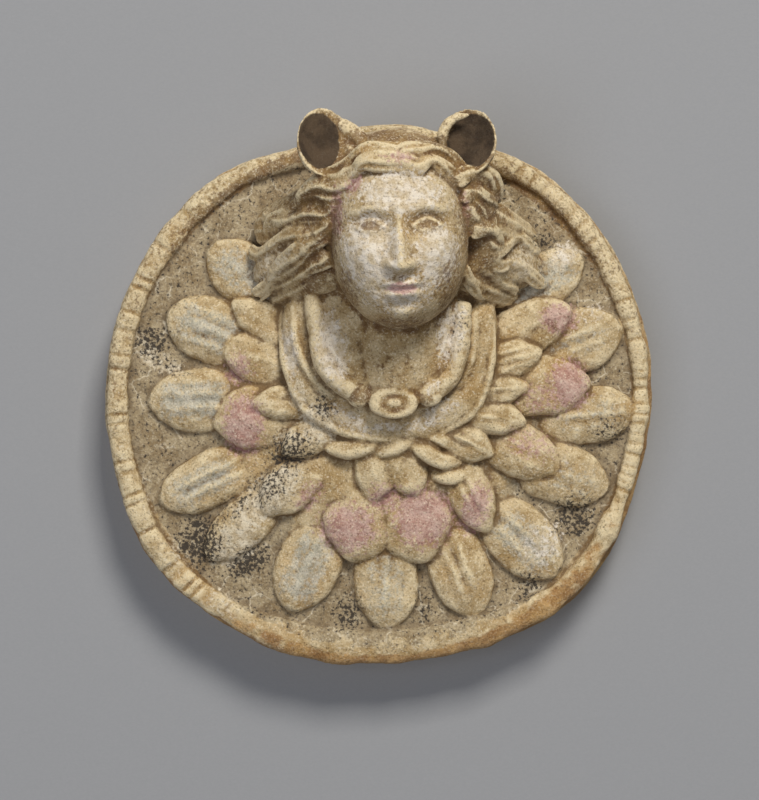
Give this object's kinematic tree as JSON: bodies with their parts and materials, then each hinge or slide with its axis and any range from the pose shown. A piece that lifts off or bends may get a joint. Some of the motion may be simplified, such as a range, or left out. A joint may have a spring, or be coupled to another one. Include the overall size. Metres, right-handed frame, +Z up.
{
  "type": "relief roundel",
  "caption": "Round fired-clay wall relief: a beaded rim, overlapping petals and, in high relief, a calm female bust with wavy hair and cupped ears.",
  "frame": {"origin": "The middle of the flat back, where the roundel rests against a wall", "axes": "+Z up, towards the ears; +Y out of the back, into the wall; the relief faces -Y"},
  "size_m": [0.2192, 0.0767, 0.2186],
  "materials": {
    "terracotta": "matt fired clay with worn slip and traces of paint"
  },
  "bodies": {
    "root": {"terracotta_roundel": "terracotta"}
  },
  "joints": []
}
